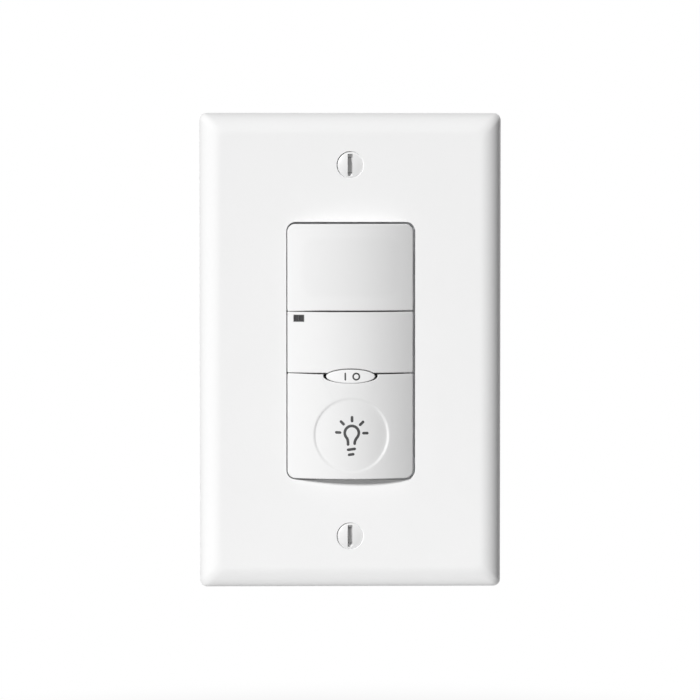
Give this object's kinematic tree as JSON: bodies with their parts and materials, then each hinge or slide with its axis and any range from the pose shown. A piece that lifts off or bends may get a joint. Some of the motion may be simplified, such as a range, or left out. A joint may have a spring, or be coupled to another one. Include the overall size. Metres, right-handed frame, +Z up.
{
  "type": "motion sensor light switch",
  "caption": "Wall-mounted motion sensor light switch: rectangular wall plate, bulging face with an infrared lens, a cover and a hinged push button, steel yoke and rear terminal housing.",
  "frame": {"origin": "centre of the wall plate on the plane of the wall", "axes": "+X to the right and +Z up as seen from the room, +Y into the wall; the face looks along -Y"},
  "size_m": [0.0788, 0.0444, 0.124],
  "materials": {
    "plate_white": "smooth moulded white, soft gloss",
    "screw_white": "white painted screw heads",
    "lens_white": "white translucent polyethylene, satin",
    "face_white": "white moulded plastic, fine satin grain",
    "smoked_window": "dark smoked plastic, glossy",
    "clear_pipe": "smoked clear plastic, glossy",
    "chassis_white": "white moulded plastic, satin",
    "spring_steel": "drawn wire",
    "zinc_steel": "zinc plated steel",
    "brown_fibre": "pressed vulcanised fibre",
    "ground_green": "green dyed zinc",
    "housing_grey": "charcoal moulded plastic, fine texture",
    "board_green": "green solder mask",
    "black_plastic": "black moulded plastic",
    "grey_plastic": "pale grey moulded plastic",
    "can_metal": "nickel plated can",
    "trimmer_blue": "blue moulded plastic",
    "led_red": "red tinted resin",
    "relay_blue": "dark moulded relay case",
    "ferrite": "sintered ferrite",
    "tape_yellow": "yellow polyester tape",
    "film_yellow": "yellow box capacitor case",
    "can_sleeve": "shrink sleeve",
    "varistor_orange": "dipped epoxy",
    "fuse_tan": "tan lacquered body",
    "brass": "bright brass"
  },
  "bodies": {
    "frame": {"wall_plate": "plate_white", "plate_screws": "screw_white", "fresnel_lens": "lens_white", "middle_cover": "face_white", "oval_badge": "face_white", "window_bezel": "smoked_window", "led_light_pipe": "clear_pipe", "photocell_light_pipe": "clear_pipe", "front_chassis": "chassis_white", "button_springs": "spring_steel", "mounting_yoke": "zinc_steel", "box_screws": "zinc_steel", "screw_retainers": "brown_fibre", "ground_screw": "ground_green", "rear_housing": "housing_grey", "housing_screws": "zinc_steel", "sensor_board": "board_green", "sensor_board_screws": "zinc_steel", "pir_spacer": "black_plastic", "pir_sensor": "can_metal", "pir_window": "smoked_window", "tact_switch": "black_plastic", "time_delay_trimmer": "trimmer_blue", "light_level_trimmer": "trimmer_blue", "status_led": "led_red", "photocell": "smoked_window", "microcontroller": "black_plastic", "header_socket": "black_plastic", "header_plug": "black_plastic", "power_board": "board_green", "power_board_screws": "zinc_steel", "relay": "relay_blue", "transformer_core": "ferrite", "transformer_coil": "tape_yellow", "film_capacitor": "film_yellow", "electrolytic_capacitors": "can_sleeve", "varistor": "varistor_orange", "fuse": "fuse_tan", "terminal_plates": "brass", "line_load_screws": "brass", "neutral_screw": "zinc_steel"},
    "button": {"push_button": "face_white"},
    "plunger": {"tact_plunger": "grey_plastic"},
    "time_delay_knob": {"time_delay_rotor": "grey_plastic"},
    "light_level_knob": {"light_level_rotor": "grey_plastic"}
  },
  "joints": [
    {"name": "button_press", "type": "hinge", "parent": "frame", "child": "button", "pos_m": [0, -0.001, -0.00905], "axis": [1, 0, 0], "range_deg": [0, 2.2], "stiffness_Nm_per_rad": 0.5, "springref_deg": -1.72, "deforming": ["button_springs"]},
    {"name": "plunger_slide", "type": "slide", "parent": "frame", "child": "plunger", "axis": [0, 1, 0], "range_m": [0, 0.00055]},
    {"name": "time_delay_turn", "type": "hinge", "parent": "frame", "child": "time_delay_knob", "pos_m": [-0.006, 0.0048, 0.00125], "axis": [0, -1, 0], "range_deg": [-135, 135]},
    {"name": "light_level_turn", "type": "hinge", "parent": "frame", "child": "light_level_knob", "pos_m": [0.006, 0.0048, 0.00125], "axis": [0, -1, 0], "range_deg": [-135, 135]}
  ],
  "couplings": [
    {"joint": "plunger_slide", "follows": "button_press", "m_per_rad": 0.013}
  ]
}
